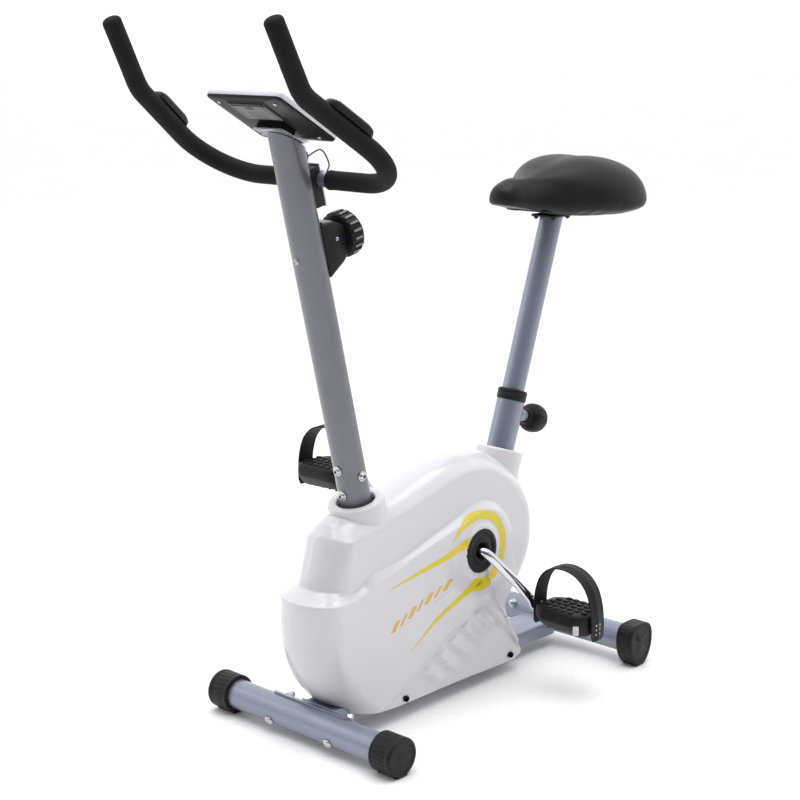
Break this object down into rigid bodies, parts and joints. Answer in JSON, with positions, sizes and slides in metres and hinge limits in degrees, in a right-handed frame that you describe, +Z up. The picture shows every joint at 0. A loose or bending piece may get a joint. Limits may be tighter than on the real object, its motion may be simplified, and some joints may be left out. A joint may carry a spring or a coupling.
{
  "type": "upright exercise bike",
  "caption": "Upright magnetic exercise bike with a leaning handlebar post, bullhorn bars, small computer, moulded housing, one-piece crank, strapped pedals and height-adjustable saddle.",
  "frame": {"origin": "on the floor under the middle of the bike's outer box", "axes": "+Z up, -Y towards the handlebar end that the rider faces, +X to the rider's left"},
  "size_m": [0.518, 1.0187, 1.1513],
  "materials": {
    "grey_paint": "satin dark grey paint",
    "light_grey_paint": "satin blue-grey paint",
    "white_gloss": "gloss white",
    "black_plastic": "matt black",
    "black_foam": "closed-cell foam",
    "black_vinyl": "grained vinyl",
    "grey_plastic": "matt grey",
    "screen_glass": "clear window over a display",
    "chrome": "polished",
    "zinc": "zinc plated",
    "cast_iron": "machined",
    "belt_rubber": "ribbed belt"
  },
  "bodies": {
    "frame": {"base_tube": "light_grey_paint", "front_saddle_plate": "light_grey_paint", "rear_saddle_plate": "light_grey_paint", "front_stabilizer": "light_grey_paint", "rear_stabilizer": "light_grey_paint", "front_cap_left": "black_plastic", "front_cap_right": "black_plastic", "front_bolt_left": "zinc", "front_bolt_right": "zinc", "rear_bolt_left": "zinc", "rear_bolt_right": "zinc", "post_stub": "grey_paint", "bottom_bracket": "grey_paint", "housing_left": "white_gloss", "housing_right": "white_gloss", "post_collar": "white_gloss", "seat_collar": "white_gloss", "handlebar_post": "grey_paint", "post_bolt_lower": "zinc", "post_bolt_upper": "zinc", "post_bolt_side": "zinc", "post_screw": "zinc", "console_bracket": "zinc", "console_shell": "black_plastic", "console_top": "white_gloss", "console_screen": "screen_glass", "tension_housing": "black_plastic", "clamp_base": "black_plastic", "clamp_cap": "zinc", "clamp_bolt": "zinc", "pulse_wire_left": "black_plastic", "pulse_wire_right": "black_plastic", "tension_cable": "black_plastic", "drive_belt": "belt_rubber", "seat_tube": "light_grey_paint", "seat_bushing": "black_plastic"},
    "rear_foot_left": {"rear_cap_left": "black_plastic"},
    "rear_foot_right": {"rear_cap_right": "black_plastic"},
    "mode_button": {"button_mode": "black_plastic"},
    "battery_hatch": {"battery_door": "grey_plastic"},
    "tension_dial": {"tension_knob": "black_plastic"},
    "handlebars": {"handlebar": "grey_paint", "grip_left": "black_foam", "grip_right": "black_foam", "pulse_pod_left": "black_plastic", "pulse_pod_right": "black_plastic"},
    "crankset": {"crank": "chrome", "crank_disc_left": "black_plastic", "crank_disc_right": "black_plastic", "drive_pulley": "black_plastic"},
    "left_pedal": {"pedal_left": "black_plastic", "strap_left": "black_plastic"},
    "right_pedal": {"pedal_right": "black_plastic", "strap_right": "black_plastic"},
    "flywheel_unit": {"flywheel": "cast_iron"},
    "brake_shoe": {"magnet_bracket": "zinc"},
    "seat_column": {"seat_post": "light_grey_paint", "saddle": "black_vinyl", "saddle_pan": "black_plastic"},
    "pull_knob": {"seat_knob": "black_plastic"}
  },
  "joints": [
    {"name": "crank_spin", "type": "hinge", "parent": "frame", "child": "crankset", "pos_m": [0, 0.054, 0.257], "axis": [1, 0, 0], "continuous": true},
    {"name": "flywheel_spin", "type": "hinge", "parent": "frame", "child": "flywheel_unit", "pos_m": [0, -0.12195, 0.16], "axis": [1, 0, 0], "continuous": true},
    {"name": "left_pedal_spin", "type": "hinge", "parent": "crankset", "child": "left_pedal", "pos_m": [0, 0.14592, 0.14746], "axis": [1, 0, 0], "continuous": true},
    {"name": "right_pedal_spin", "type": "hinge", "parent": "crankset", "child": "right_pedal", "pos_m": [0, -0.03792, 0.36654], "axis": [1, 0, 0], "continuous": true},
    {"name": "seat_height", "type": "slide", "parent": "frame", "child": "seat_column", "axis": [0, 0.3233, 0.9463], "range_m": [-0.12, 0.1]},
    {"name": "seat_pin_pull", "type": "slide", "parent": "frame", "child": "pull_knob", "axis": [0, 0.9463, -0.3233], "range_m": [0, 0.01], "stiffness_N_per_m": 600},
    {"name": "handlebar_tilt", "type": "hinge", "parent": "frame", "child": "handlebars", "pos_m": [0, -0.2605, 0.9077], "axis": [1, 0, 0], "range_deg": [-12, 15]},
    {"name": "tension_dial_turn", "type": "hinge", "parent": "frame", "child": "tension_dial", "pos_m": [0, -0.19795, 0.81869], "axis": [0, 0.9723, 0.2336], "range_deg": [0, 280]},
    {"name": "brake_shoe_swing", "type": "hinge", "parent": "frame", "child": "brake_shoe", "pos_m": [0, -0.2086, 0.23017], "axis": [1, 0, 0], "range_deg": [0, 3.5]},
    {"name": "mode_button_press", "type": "slide", "parent": "frame", "child": "mode_button", "axis": [0, -0.5059, -0.8626], "range_m": [0, 0.0015], "stiffness_N_per_m": 400},
    {"name": "battery_door_open", "type": "hinge", "parent": "frame", "child": "battery_hatch", "pos_m": [0, -0.35712, 1.00126], "axis": [1, 0, 0], "range_deg": [0, 70]},
    {"name": "rear_foot_left_turn", "type": "hinge", "parent": "frame", "child": "rear_foot_left", "pos_m": [0.19, 0.3453, 0.0437], "axis": [1, 0, 0], "range_deg": [-180, 180]},
    {"name": "rear_foot_right_turn", "type": "hinge", "parent": "frame", "child": "rear_foot_right", "pos_m": [-0.19, 0.3453, 0.0437], "axis": [1, 0, 0], "range_deg": [-180, 180]}
  ],
  "couplings": [
    {"joint": "flywheel_spin", "follows": "crank_spin", "ratio": 4.7222},
    {"joint": "brake_shoe_swing", "follows": "tension_dial_turn", "ratio": 0.0125}
  ]
}
